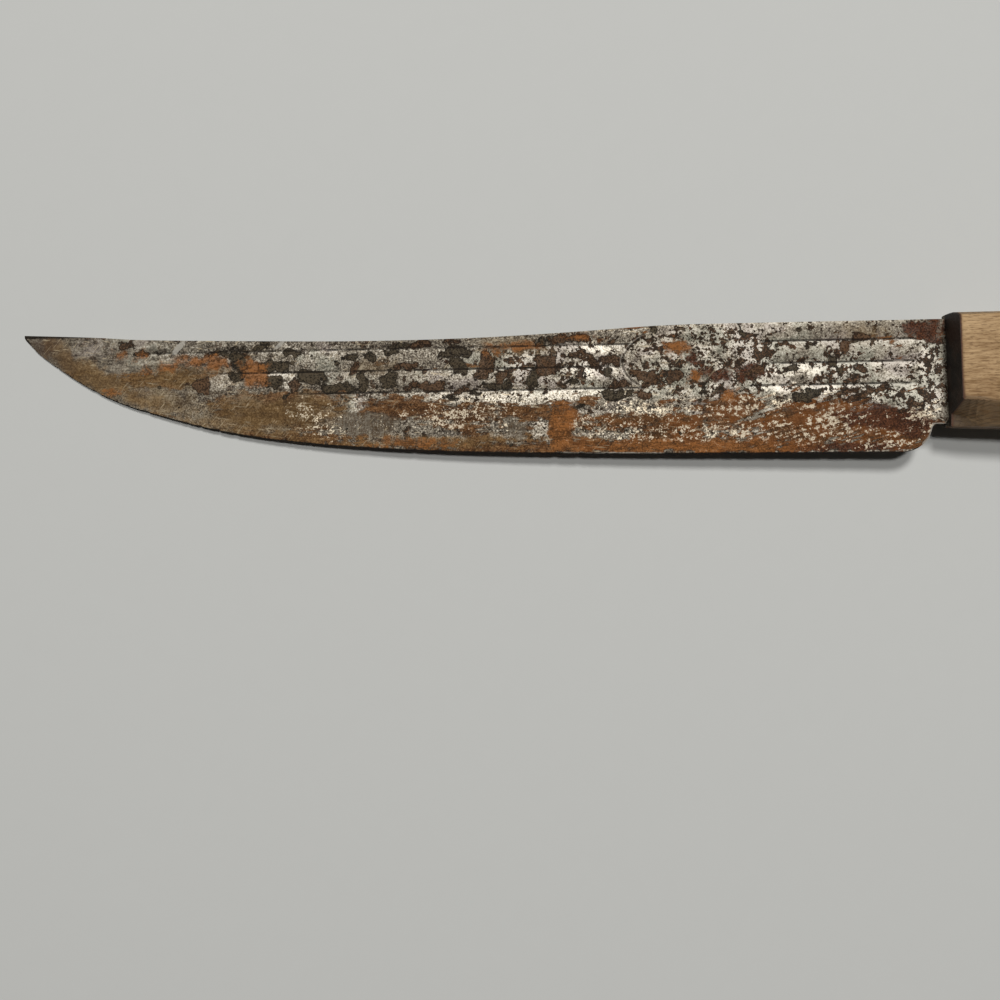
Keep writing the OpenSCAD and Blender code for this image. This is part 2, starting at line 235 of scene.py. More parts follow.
def shades(*colours: Sequence[float]) -> Shades:
    """Turns colours, given from dark to pale, into linear ones."""
    return tuple(srgb(*colour) for colour in colours)


def clouds(points: Points, size: float, seed: float, octaves: int = 3) -> Points:
    """Reads smooth, seeded noise at each point.

    Args:
        points: One row of three places per point, in millimetres.
        size: Width of the largest lumps, in millimetres.
        seed: Where in the noise to start.
        octaves: How many finer layers are added.

    Returns:
        One value per point, mostly from -0.6 to 0.6.
    """
    shifted = points / size + np.array([seed, 1.7 * seed, 0.6 * seed])
    return np.array(
        [
            noise.fractal(place, 0.9, 2.0, octaves, noise_basis="PERLIN_ORIGINAL")
            for place in shifted.tolist()
        ]
    )


class Wire:
    """A shader socket that Python's operators work on."""

    def __init__(self, bench: "Bench", socket: NodeSocket) -> None:
        """Keeps the socket and its bench."""
        self.bench = bench
        self.socket = socket

    def __add__(self, other: "Wire | float") -> "Wire":
        """Adds a wire or a number."""
        return self.bench.maths("ADD", self, other)

    def __sub__(self, other: "Wire | float") -> "Wire":
        """Takes a wire or a number away."""
        return self.bench.maths("SUBTRACT", self, other)

    def __rsub__(self, other: float) -> "Wire":
        """Takes this wire away from a number."""
        return self.bench.maths("SUBTRACT", other, self)

    def __mul__(self, other: "Wire | float") -> "Wire":
        """Multiplies by a wire or a number."""
        return self.bench.maths("MULTIPLY", self, other)

    def __truediv__(self, other: float) -> "Wire":
        """Divides by a number."""
        return self.bench.maths("DIVIDE", self, other)

    __radd__, __rmul__ = __add__, __mul__

    def step(self, low: float, high: float) -> "Wire":
        """Turns the value into a soft-edged mask between two levels."""
        return self.bench.node(
            "MapRange",
            {"interpolation_type": "SMOOTHSTEP"},
            {"Value": self, "From Min": low, "From Max": high},
        )

    def line(self, level: float, core: float, reach: float) -> "Wire":
        """Masks a soft line where the value passes a level."""
        return 1 - self.bench.maths("ABSOLUTE", self - level).step(core, reach)

    def most(self, *others: "Wire") -> "Wire":
        """Takes the largest of several values at each point."""
        best = self
        for other in others:
            best = self.bench.maths("MAXIMUM", best, other)
        return best


class Bench:
    """Builds the nodes of one material or world."""

    def __init__(self, owner: Material | World) -> None:
        """Starts with an empty tree."""
        owner.use_nodes = True
        self.owner = owner
        self.tree = owner.node_tree
        self.tree.nodes.clear()

    def node(
        self,
        kind: str,
        settings: Mapping[str, Any] | None = None,
        sockets: Mapping[str | int, Any] | None = None,
        output: str | int = 0,
    ) -> Wire:
        """Adds a node.

        Args:
            kind: The node's type, without the ShaderNode that each starts with.
            settings: Its own options.
            sockets: Values or wires, by input name or number.
            output: The output that is wanted.

        Returns:
            The wire from that output. A node that ends a tree gives its input.
        """
        made = self.tree.nodes.new("ShaderNode" + kind)
        for name, value in (settings or {}).items():
            setattr(made, name, value)
        for name, value in (sockets or {}).items():
            socket = made.inputs[name]
            if isinstance(value, Wire):
                self.tree.links.new(value.socket, socket)
            elif socket.type == "RGBA":
                socket.default_value = (*value, 1.0)
            else:
                socket.default_value = value
        return Wire(self, (made.outputs or made.inputs)[output])

    def maths(self, operation: str, *values: Wire | float) -> Wire:
        """Adds a Math node."""
        return self.node("Math", {"operation": operation}, dict(enumerate(values)))

    def axis(self, name: str) -> Wire:
        """Reads one of the object's own coordinates, in millimetres."""
        here = self.node("TexCoord", output="Object")
        return self.node("SeparateXYZ", sockets={0: here}, output=name) / MM

    def ahead(self, low: float, high: float) -> Wire:
        """Masks what lies ahead along X, fading out from low to high."""
        return 1 - self.axis("X").step(low, high)

    def mark(self, name: str) -> Wire:
        """Reads a value that the mesh carries at each point."""
        return self.node("Attribute", {"attribute_name": name}, output="Fac")

    def grain(
        self,
        size: float,
        detail: float,
        rough: float,
        stretch: Colour = (1, 1, 1),
        seed: float = 0.0,
        warp: float = 0.0,
        lean: float = 0.0,
    ) -> Wire:
        """Adds cloudy noise.

        Args:
            size: Width of its largest lumps, in millimetres.
            detail: How many finer layers it has.
            rough: How strong these are.
            stretch: How many times longer it is along each axis.
            seed: Where in the noise to start.
            warp: How far it is distorted.
            lean: How far it leans from the X axis, in degrees.

        Returns:
            The noise, from 0 to 1.
        """
        place = self.node(
            "Mapping",
            {"vector_type": "TEXTURE"},
            {
                "Vector": self.node("TexCoord", output="Object"),
                "Location": (seed, 0.7 * seed, 0.3 * seed),
                "Rotation": (0, 0, math.radians(lean)),
                "Scale": stretch,
            },
        )
        return self.node(
            "TexNoise",
            sockets={
                "Vector": place,
                "Scale": 1 / (size * MM),
                "Detail": detail,
                "Roughness": rough,
                "Distortion": warp,
            },
        )

    def ramp(self, value: Wire, places: Sequence[float], colours: Shades) -> Wire:
        """Colours a value by stops at these places."""
        ramp = self.node("ValToRGB", sockets={0: value})
        stops = ramp.socket.node.color_ramp.elements
        while len(stops) < len(places):
            stops.new(1.0)
        for stop, place, colour in zip(stops, places, colours, strict=True):
            stop.position = place
            stop.color = (*colour, 1.0)
        return ramp

    def blend(self, mask: Wire | float, under: Wire | Colour, over: Wire | Colour) -> Wire:
        """Lays one colour over another through a mask."""
        sockets = {0: mask, 6: under, 7: over}
        return self.node("Mix", {"data_type": "RGBA"}, sockets, output=2)

    def layer(self, colour: Wire, *layers: tuple[Wire, Wire | Colour]) -> Wire:
        """Lays several colours over one, each through its own mask."""
        for mask, over in layers:
            colour = self.blend(mask, colour, over)
        return colour

    def bump(self, height: Wire, depth: float, strength: float = 1.0) -> Wire:
        """Makes relief of a height, which is so many millimetres deep."""
        return self.node(
            "Bump",
            sockets={"Height": height, "Distance": depth * MM, "Strength": strength},
        )

    def surface(
        self,
        colour: Wire,
        rough: Wire | float,
        metal: Wire | float = 0.0,
        gloss: float = 0.5,
        relief: Wire | None = None,
    ) -> Material:
        """Ends a material with its shader.

        Args:
            colour: Its colour.
            rough: Its roughness.
            metal: How metallic it is.
            gloss: How strong its highlights are.
            relief: Its bump, if any.

        Returns:
            The material.
        """
        sockets = {
            "Base Color": colour,
            "Roughness": rough,
            "Metallic": metal,
            "Specular IOR Level": gloss,
        }
        if relief:
            sockets["Normal"] = relief
        shader = self.node("BsdfPrincipled", sockets=sockets)
        self.node("OutputMaterial", sockets={"Surface": shader})
        return self.owner


class SteelBench(Bench):
    """The steel's bench, with the noises that its layers share."""

    def __init__(self) -> None:
        """Adds the noises; the streaks rise at the rear."""
        super().__init__(bpy.data.materials.new("rusted_steel"))
        self.speck = self.grain(0.45, 2, 0.75)
        self.crumb = self.grain(1.4, 4, 0.7, seed=0.31)
        self.lump = self.grain(6.0, 3, 0.6, seed=0.57)
        frill = self.grain(3.2, 6, 0.72, seed=0.43)
        straight = self.grain(1.1, 4, 0.65, (5, 1, 1), seed=0.83)
        rising = self.grain(1.0, 4, 0.65, (6, 1, 1), seed=0.89, lean=15)
        self.rear = self.axis("X").step(-10, 20)
        self.point = self.ahead(-150, -60)
        self.streak = straight * (1 - self.rear) + rising * self.rear
        fine, coarse = self.speck - 0.5, self.crumb - 0.5
        self.tone = fine * 1.05 + coarse * 0.35 + (self.lump - 0.5) * 0.3 + 0.5
        self.flow = self.crumb * 0.25 + self.streak * 0.35 + self.speck * 0.4
        self.ragged = (frill - 0.5) * 6 + coarse * 3 + fine * 1.2
        self.drag = (self.streak - 0.5) * (self.rear * 6 + 5)
        self.crowd = self.stain(Stain.PITS).step(-1.8, 1.8)

    def stain(self, stain: Stain, rag: float = 1.0) -> Wire:
        """Reads how many mm a point lies inside a ragged stain."""
        return self.mark(stain.value) + self.ragged * rag

    def mottle(self, low: float, high: float, colours: Shades) -> Wire:
        """Mixes two colours by the tone."""
        return self.blend(self.tone.step(low, high), *colours)


@dataclass(frozen=True)
class RustedSteel:
    """Carbon steel under a century of rust, read from the blade's own marks."""

    metal: Shades = shades((38, 33, 28), (86, 78, 67), (126, 118, 104), (180, 173, 160))
    sage: Colour = srgb(104, 107, 95)
    mauve: Colour = srgb(116, 104, 104)
    oxide: Shades = shades((30, 26, 20), (76, 66, 51))
    brown: Shades = shades((44, 32, 22), (94, 70, 50))
    pit: Shades = shades((34, 24, 15), (90, 61, 38))
    red: Shades = shades((46, 28, 19), (92, 56, 38))
    rust: Shades = shades((48, 32, 19), (87, 57, 31), (138, 99, 61))
    ember: Colour = srgb(122, 72, 32)
    orange: Shades = shades((86, 55, 28), (148, 95, 50))
    olive: Shades = shades((70, 55, 37), (102, 84, 59), (146, 130, 104))
    umber: Colour = srgb(58, 44, 37)
    gold: Shades = shades((74, 55, 33), (99, 75, 45), (130, 105, 70))
    cream: Shades = shades((152, 130, 102), (224, 210, 184))
    hair: Colour = srgb(170, 154, 126)
    glint: Colour = srgb(146, 141, 131)
    # dark colour of dirt, and of the painted shadow under the cutting edge
    dirt_and_shade: Colour = srgb(22, 17, 13)
    reed_pitch: float = 6.0
    lowest_valley: float = 0.07
    highest_valley: float = 12.07
    spine_edge: float = 16.72

    def build(self) -> Material:
        """Builds the steel with the stains that the blade's mesh carries."""
        bench = SteelBench()
        bare = bench.stain(Stain.BRIGHT, 0.6).step(-0.8, 1.0)
        film = 1 - bare * 0.7
        pit = self._pits(bench)
        olive = bench.stain(Stain.OLIVE, 0.9).step(-1.8, 2.2)
        gold = (bench.stain(Stain.GOLD, 0.8) + bench.drag * 0.6).step(-1.2, 1.6)
        rust = (bench.stain(Stain.RUST, 0.8) + bench.drag).step(-0.5, 0.5)
        red = bench.stain(Stain.RED, 0.8).step(-0.5, 0.5)
        in_oxide = bench.stain(Stain.OXIDE, 0.42) - 0.13
        oxide = in_oxide.step(-0.08, 0.08)
        in_brown = bench.stain(Stain.BROWN, 0.45) - 0.08
        brown = in_brown.step(-0.1, 0.12)
        brink = in_oxide.line(0.1, 0.04, 0.24).most(in_brown.line(0.1, 0.04, 0.24))
        orange = bench.stain(Stain.ORANGE).step(-0.8, 1.0)
        blaze = (bench.tone * 0.45 + bench.streak * 0.55).step(0.4, 0.58)
        hatch = bench.mark("hatch").step(-0.4, 0.8)
        glint = bench.stain(Stain.GLINT, 0.12).step(-0.1, 0.2)
        groove = self._grooves(bench)
        # the cutting edge's dark line is partly dark steel and partly a painted shadow under the
        # edge
        edge = self._edges_and_shadow(bench) * (1 - bare)
        rim, ridge = self._panel_rim(bench)
        colour = bench.layer(
            self._metal(bench, bare),
            (pit * 0.95, bench.mottle(0.5, 0.68, self.pit)),
            (rust * 0.93, self._rust_colour(bench)),
            (olive * film * 0.75, self._olive_colour(bench)),
            (gold * film * 0.75, self._gold_colour(bench)),
            (hatch * 0.8, self._hatch_colour(bench)),
            (red * 0.9, bench.mottle(0.4, 0.62, self.red)),
            (self._cream(bench) * (1 - pit * 0.8) * 0.88, bench.mottle(0.36, 0.58, self.cream)),
            (self._hairs(bench) * 0.6, self.hair),
            (oxide * 0.96, bench.mottle(0.38, 0.6, self.oxide)),
            (brown * 0.93, bench.mottle(0.4, 0.6, self.brown)),
            (orange * 0.82, bench.blend(blaze, *self.orange)),
            (brink * 0.75, self.dirt_and_shade),
            (groove * 0.85, self.dirt_and_shade),
            (rim * 0.7, self.dirt_and_shade),
            (ridge * 0.35, self.metal[-1]),
            # painted shadow under the cutting edge, together with its dark steel
            (edge * 0.92, self.dirt_and_shade),
            (glint * 0.85, self.glint),
        )
        dull = rust.most(orange, brown, red, oxide, pit, edge)
        height = bench.speck * (0.3 + dull * 0.5) + bench.crumb * dull * 0.6
        height += dull * 0.2 - pit * 0.8 - groove * 0.5
        return bench.surface(
            colour,
            0.58 + dull * 0.26 - bare * 0.04,
            (1 - dull) * (0.5 + bare * 0.2) * (1 - olive * 0.7),
            gloss=0.1,
            relief=bench.bump(height, 0.09),
        )

    def _metal(self, bench: SteelBench, bare: Wire) -> Wire:
        """Colours the steel where no rust covers it, with painted light and shade on the reeds'
        slopes and a painted highlight just under each valley.
        """
        rear, streak, crowd = bench.rear, bench.streak, bench.crowd
        silver = bench.stain(Stain.SILVER).step(-1.8, 1.8)
        film = (bench.lump * 0.6 + streak * 0.4).step(0.42, 0.6)
        across = bench.axis("Y") / self.reed_pitch
        fall = bench.maths("FRACT", self.highest_valley / self.reed_pitch - across)
        reeded = bench.mark("reeded") * (0.5 + rear * 0.5)
        # painted light: the slope just under each valley faces the lamps and is lightened
        painted_lit_slope = reeded * (1 - fall.step(0.1, 0.45))
        # painted shade: the slope just above each valley is turned from the lamps and is darkened
        turned = reeded * fall.step(0.55, 0.95)
        # painted highlight: a thin bright line just under each valley
        painted_lip_highlight = fall.step(0.03, 0.06) * (1 - fall.step(0.1, 0.14))
        painted_lip_highlight *= reeded * streak.step(0.46, 0.56)
        calm = 1 - (bench.ahead(-165, -138) * 0.5).most(crowd * 0.3, rear * 0.3)
        light = (bench.tone - 0.5) * calm + 0.5 + silver * (0.07 + rear * 0.01)
        light += bare * 0.112 - film * 0.06
        light += (streak - 0.5) * bench.point * 0.6 - bench.point * 0.005
        light += (bench.lump - 0.5) * crowd * 0.8 + crowd * 0.055
        # adds the reeds' painted light, painted highlight and painted shade to the steel's
        # lightness
        light += painted_lit_slope * (rear * 0.03 + 0.08) + painted_lip_highlight * 0.14 - turned * 0.06
        tint = bench.grain(9.0, 2, 0.5, seed=1.13)
        return bench.layer(
            bench.ramp(light, (0.32, 0.44, 0.56, 0.72), self.metal),
            (tint.step(0.5, 0.6) * silver * 0.35, self.sage),
            ((1 - tint.step(0.38, 0.48)) * silver * 0.3, self.mauve),
        )

    def _pits(self, bench: SteelBench) -> Wire:
        """Masks the small pits, which crowd on the panel and the rear reeds."""
        crowd, rear = bench.crowd, bench.rear * 0.01
        blots = bench.grain(2.4, 5, 0.6, seed=0.71) + crowd * 0.07 + rear
        blots += (bench.lump - 0.5) * 0.2
        dots = bench.grain(1.1, 3, 0.6, seed=0.19) + crowd * 0.05 + rear
        pins = bench.grain(0.6, 2, 0.6, seed=0.97) + crowd * 0.05
        pits = blots.step(0.585, 0.61).most(dots.step(0.61, 0.64), pins.step(0.63, 0.67))
        return pits * (1 - bench.point * 0.5)

    def _rust_colour(self, bench: SteelBench) -> Wire:
        """Colours the streaky rust of the bevel, which glows towards the heel."""
        streaky = bench.ramp(bench.flow, (0.41, 0.5, 0.6), self.rust)
        glow = bench.axis("X").step(-50, -38) * 0.55
        glow *= (bench.lump * 0.5 + bench.streak * 0.5).step(0.44, 0.56)
        return bench.blend(glow, streaky, self.ember)

    def _olive_colour(self, bench: SteelBench) -> Wire:
        """Colours the smooth film near the point, which is dark at the tip."""
        film = bench.crumb * 0.3 + bench.lump * 0.3 + bench.speck * 0.4
        return bench.layer(
            bench.ramp(film, (0.43, 0.5, 0.57), self.olive),
            (bench.point * 0.25, self.olive[0]),
            (bench.ahead(-186, -176) * 0.85, self.umber),
        )

    def _gold_colour(self, bench: SteelBench) -> Wire:
        """Colours the golden film along the edge, which is dark at the tip."""
        film = bench.ramp(bench.flow, (0.4, 0.5, 0.59), self.gold)
        return bench.blend(bench.ahead(-186, -168) * 0.5, film, self.umber)

    def _hatch_colour(self, bench: SteelBench) -> Wire:
        """Colours the two places that were ground across the blade."""
        lines = bench.grain(0.5, 2, 0.6, (1, 9, 1), seed=3.3) * 0.55
        colours = (self.olive[0], *self.metal[1:3])
        return bench.ramp(lines + bench.speck * 0.45, (0.38, 0.52, 0.7), colours)

    def _cream(self, bench: SteelBench) -> Wire:
        """Masks the pale flakes: grains at the front, rising streaks at the rear."""
        front = bench.ahead(-30, 10)
        flake = (bench.speck - 0.5) * (front * 3 + 3) + (bench.crumb - 0.5) * 9
        drawn = (bench.streak - 0.5) * (8 - front * 4)
        return (bench.mark("cream") * 0.4 + flake + drawn).step(0.65, 1.1)

    def _hairs(self, bench: SteelBench) -> Wire:
        """Masks the hair-fine scratches in front of the panel."""
        rising = bench.grain(0.32, 1, 0.5, (12, 1, 1), seed=2.1, lean=48)
        falling = bench.grain(0.32, 1, 0.5, (14, 1, 1), seed=2.7, lean=-8)
        lines = rising.most(falling).step(0.66, 0.72)
        return lines * (1 - bench.rear) * bench.lump.step(0.4, 0.52)

    def _grooves(self, bench: SteelBench) -> Wire:
        """Masks the dirt that has settled in stretches of the reeds' valleys."""
        low, high = self.lowest_valley, self.highest_valley
        across = bench.axis("Y")
        valley = bench.maths("PINGPONG", across - low, self.reed_pitch / 2)
        inside = across.step(low - 1, low - 0.5) * (1 - across.step(high + 0.5, high + 1))
        dirty = (bench.crumb * 0.5 + bench.lump * 0.5).step(0.38, 0.52)
        return (1 - valley.step(0.14, 0.4)) * inside * bench.mark("reeded") * dirty

    def _edges_and_shadow(self, bench: SteelBench) -> Wire:
        """Masks the dark line along the front of the spine, and the one along the cutting edge,
        which is partly dark steel and partly a painted shadow under the edge.
        """
        rim = bench.mark("rim") + (bench.crumb - 0.5) * 0.6 + bench.point * 0.14
        spine = bench.axis("Y").step(self.spine_edge, self.spine_edge + 0.2) * 0.8
        return (1 - rim.step(0.1, 0.34)).most(spine * bench.ahead(-40, 0))

    def _panel_rim(self, bench: SteelBench) -> tuple[Wire, Wire]:
        """Masks the dark line and the ridge on the left of the oval panel."""
        past = bench.mark("panel") + (bench.crumb - 0.5) * 0.8
        shown = bench.ahead(-21, -16)
        ridge = past.step(0.3, 0.45) * (1 - past.step(0.5, 0.8))
        return past.line(0, 0.1, 0.36) * shown, ridge * shown


@dataclass(frozen=True)
class OldBeech:
    """Dry, hand-darkened beech with short dark flecks along the grain, and painted shade on the
    grip's bevel and on faces turned from the lamps.
    """

    wood: Shades = shades((120, 90, 56), (159, 129, 92), (186, 155, 115))
    ring: Colour = srgb(98, 70, 40)
    fleck: Colour = srgb(88, 62, 36)
    # colour of hand grime and of the painted shade on the grip
    dirt_and_shade: Colour = srgb(48, 37, 26)
    black: Colour = srgb(22, 18, 15)
    scorch: Colour = srgb(58, 42, 33)
    singe: Colour = srgb(72, 44, 27)
    ring_pitch: float = 1.7

    def build(self) -> Material:
        """Builds the wood with the grime, the painted shade and the burns that a scale's mesh
        carries.
        """
        bench = Bench(bpy.data.materials.new("old_beech"))
        figure = bench.grain(9, 3, 0.55, (14, 1, 1.6), seed=0.11, warp=0.6)
        fibre = bench.grain(0.6, 3, 0.65, (8, 1, 1.2), seed=0.23)
        fleck = bench.grain(0.34, 2, 0.5, (5, 1, 1), seed=0.41).step(0.54, 0.66)
        blotch = bench.grain(7, 3, 0.6, (2, 1, 1), seed=0.67)
        # this mark carries hand grime and painted shade alike
        grime_and_shade_mark = bench.mark("grime_and_shade")
        shaded, hollow = grime_and_shade_mark.step(0.6, 0.86), grime_and_shade_mark.step(0.95, 1.25)
        ring = self._rings(bench, shaded) * blotch.step(0.35, 0.6)
        grime_and_shade = grime_and_shade_mark + (fibre - 0.5) * 0.8 + (blotch - 0.5) * 0.5
        grime_and_shade += (ring - 0.3) * shaded * (1 - hollow) * 0.7
        burn = bench.mark("burn") + (fibre - 0.5) * 0.3 + (blotch - 0.5) * 0.2
        charred = bench.blend(blotch.step(0.42, 0.6) * 0.55, self.black, self.scorch)
        figure = figure * 0.4 + fibre * 0.4 + blotch * 0.2
        colour = bench.layer(
            bench.ramp(figure, (0.41, 0.5, 0.6), self.wood),
            (ring * (shaded * 0.2 + 0.15), self.ring),
            (fleck * 0.5, self.fleck),
            # laid through that mark: hand grime and painted shade
            (grime_and_shade.step(0.15, 0.95) * 0.66, self.dirt_and_shade),
            # painted shade and grime deepen the bevel's hollow
            (hollow * 0.5, self.black),
            (burn.step(0.12, 0.5), self.singe),
            (burn.step(0.4, 0.72), charred),
        )
        return bench.surface(
            colour,
            0.66 - grime_and_shade.step(0.2, 1.0) * 0.1,
            gloss=0.2,
            relief=bench.bump(fibre * 0.6 - fleck * 0.5 - ring * 0.3, 0.08, 0.8),
        )

    def _rings(self, bench: Bench, shaded: Wire) -> Wire:
        """Masks the late wood of the rings, which the grip's bevel cuts into arches."""
        drift = bench.grain(16, 2, 0.5, (4, 1, 1), seed=0.77)
        bend = bench.ahead(62, 76)
        depth = bench.axis("Y") * 0.66 + bench.axis("Z") * 0.74 - bench.axis("X") * 0.035
        depth += (drift - 0.5) * 9 + bend * bend * shaded * 9
        wave = bench.maths("PINGPONG", depth, self.ring_pitch / 2)
        return wave.step(self.ring_pitch * 0.3, self.ring_pitch * 0.48)


@dataclass(frozen=True)
class AgedBrass:
    """Brass that has gone brown between the scratches of use."""

    tarnish: Shades = shades((66, 48, 32), (112, 90, 58), (152, 128, 86))

    def build(self) -> Material:
        """Builds the brass and returns its material."""
        bench = Bench(bpy.data.materials.new("aged_brass"))
        cloud = bench.grain(2.2, 3, 0.6, seed=0.15)
        scratch = bench.grain(0.25, 2, 0.5, (12, 1, 1), seed=0.35)
        clean = cloud.step(0.36, 0.6)
        return bench.surface(
            bench.ramp(cloud * 0.7 + scratch * 0.3, (0.36, 0.48, 0.62), self.tarnish),
            0.62 - clean * 0.2,
            0.55 + clean * 0.35,
            relief=bench.bump(scratch + cloud, 0.02, 0.7),
        )


@dataclass(frozen=True)
class PaleTop:
    """The plain pale surface that the knife lies on."""

    paint: Colour = srgb(193, 193, 189)
    fade: float = 0.985

    def build(self) -> Material:
        """Builds the matt paint and returns its material."""
        bench = Bench(bpy.data.materials.new("pale_top"))
        faded = tuple(level * self.fade for level in self.paint)
        colour = bench.blend(bench.grain(6.0, 2, 0.5), faded, self.paint)
        return bench.surface(colour, 0.8, gloss=0.0)


def choose_only(piece: Object) -> None:
    """Selects one piece, makes it active and leaves all others alone."""
    bpy.ops.object.select_all(action="DESELECT")
    piece.select_set(True)
    bpy.context.view_layer.objects.active = piece


def copy_node(node: str, name: str) -> Object:
    """Starts a piece from a CAD node's mesh.

    Args:
        node: The CAD node's name.
        name: The new piece's name.

    Returns:
        The piece, with its loose triangles merged and paired into quads.
    """
    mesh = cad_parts[node].data.copy()
    mesh.materials.clear()
    piece = bpy.data.objects.new(name, mesh)
    bpy.context.scene.collection.objects.link(piece)
    choose_only(piece)
    if mesh.has_custom_normals:
        bpy.ops.mesh.customdata_custom_splitnormals_clear()
    bpy.ops.object.mode_set(mode="EDIT")
    bpy.ops.mesh.select_all(action="SELECT")
    bpy.ops.mesh.remove_doubles(threshold=0.002 * MM)
    bpy.ops.mesh.tris_convert_to_quads(face_threshold=math.radians(2), shape_threshold=math.pi)
    bpy.ops.object.mode_set(mode="OBJECT")
    return piece


def slice_across(piece: Object, axis: int, start: float, end: float, pitch: float) -> None:
    """Cuts new edge loops into a piece, in planes across one axis.

    Args:
        piece: The piece to cut.
        axis: 0, 1 or 2 for planes across X, Y or Z.
        start: Where the first plane stands, in metres.
        end: Where they end.
        pitch: How far apart they stand.
    """
    choose_only(piece)
    normal = Vector((0, 0, 0))
    normal[axis] = 1
    bpy.ops.object.mode_set(mode="EDIT")
    for place in np.arange(start, end, pitch):
        bpy.ops.mesh.select_all(action="SELECT")
        bpy.ops.mesh.bisect(plane_co=normal * place, plane_no=normal, threshold=1e-6)
    bpy.ops.object.mode_set(mode="OBJECT")


def round_edges(
    piece: Object,
    width: float,
    steps: int,
    wanted: Callable[[BMEdge], bool],
) -> None:
    """Rounds the edges that a test picks.

    Args:
        piece: The piece to round.
        width: The rounding's width, in metres.
        steps: How many faces the rounding has.
        wanted: The test.
    """
    choose_only(piece)
    bpy.ops.object.mode_set(mode="EDIT")
    bpy.ops.mesh.select_mode(type="EDGE")
    bpy.ops.mesh.select_all(action="DESELECT")
    shape = bmesh.from_edit_mesh(piece.data)
    for edge in shape.edges:
        if len(edge.link_faces) == 2 and wanted(edge):
            edge.select_set(True)
    bmesh.update_edit_mesh(piece.data)
    bpy.ops.mesh.bevel(offset=width, segments=steps, affect="EDGES", clamp_overlap=True)
    bpy.ops.object.mode_set(mode="OBJECT")


def rivet_places() -> list[tuple[float, float]]:
    """Finds the middle of each rivet, in millimetres along and across the knife."""
    boxes = [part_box(f"{name}_rivet_stud") for name in RIVETS]
    return [((low.x + high.x) / 2 / MM, (low.y + high.y) / 2 / MM) for low, high in boxes]


def read_rows(items: bpy_prop_collection, name: str) -> Points:
    """Reads three numbers from each of a mesh's items, one row for each."""
    flat = np.empty(len(items) * 3, np.float32)
    items.foreach_get(name, flat)
    return flat.reshape(-1, 3).astype(float)


def above_lowest(x: Points, y: Points, column: float) -> Points:
    """Measures how far each vertex lies above the piece's lower outline.

    Args:
        x: Places along the piece, in millimetres.
        y: Places across it.
        column: Width of the stretches whose lowest vertex is found.

    Returns:
        Millimetres above that vertex.
    """
    columns = np.round(x / column).astype(int).tolist()
    lowest: dict[int, float] = {}
    for place, height in zip(columns, y.tolist(), strict=True):
        lowest[place] = min(height, lowest.get(place, height))
    return y - np.array([lowest[place] for place in columns])


def store_mark(piece: Object, name: str, values: Points) -> None:
    """Keeps one value per vertex in the mesh, for its material to read."""
    layer = piece.data.attributes.new(name, "FLOAT", "POINT")
    layer.data.foreach_set("value", values.astype(np.float32))


def press(
    piece: Object,
    name: str,
    share: Points,
    height: float,
    direction: str = "NORMAL",
) -> None:
    """Raises or sinks a surface by a share at each vertex.

    Args:
        piece: The piece to shape.
        name: What the relief is called.
        share: From 0 to 1, one value per vertex.
        height: How far a whole share moves the surface, in metres.
        direction: NORMAL, or the axis to move along.
    """
    group = piece.vertex_groups.new(name=name)
    levels = np.rint(np.clip(share, 0, 1) * 100).astype(int)
    for level in np.unique(levels):
        if level:
            group.add(np.flatnonzero(levels == level).tolist(), level / 100, "REPLACE")
    relief = piece.modifiers.new(name, "DISPLACE")
    relief.vertex_group = name
    relief.direction = direction
    relief.mid_level = 0
    relief.strength = height
    choose_only(piece)
    bpy.ops.object.modifier_apply(modifier=relief.name)
    piece.vertex_groups.remove(piece.vertex_groups[name])


def finish_piece(piece: Object, node: str, material: Material, angle: float) -> None:
    """Dresses a finished piece and hands it to the frame.

    Args:
        piece: The finished piece.
        node: The CAD node that it stands for.
        material: Its material.
        angle: Edges sharper than this, in degrees, stay sharp.
    """
    choose_only(piece)
    bpy.ops.object.shade_smooth_by_angle(angle=math.radians(angle))
    piece.data.materials.append(material)
    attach(piece, BODY)
    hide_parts(node)
    triangles = sum(len(face.vertices) - 2 for face in piece.data.polygons)
    log.info("%s: %d triangles, stands for %s", piece.name, triangles, node)


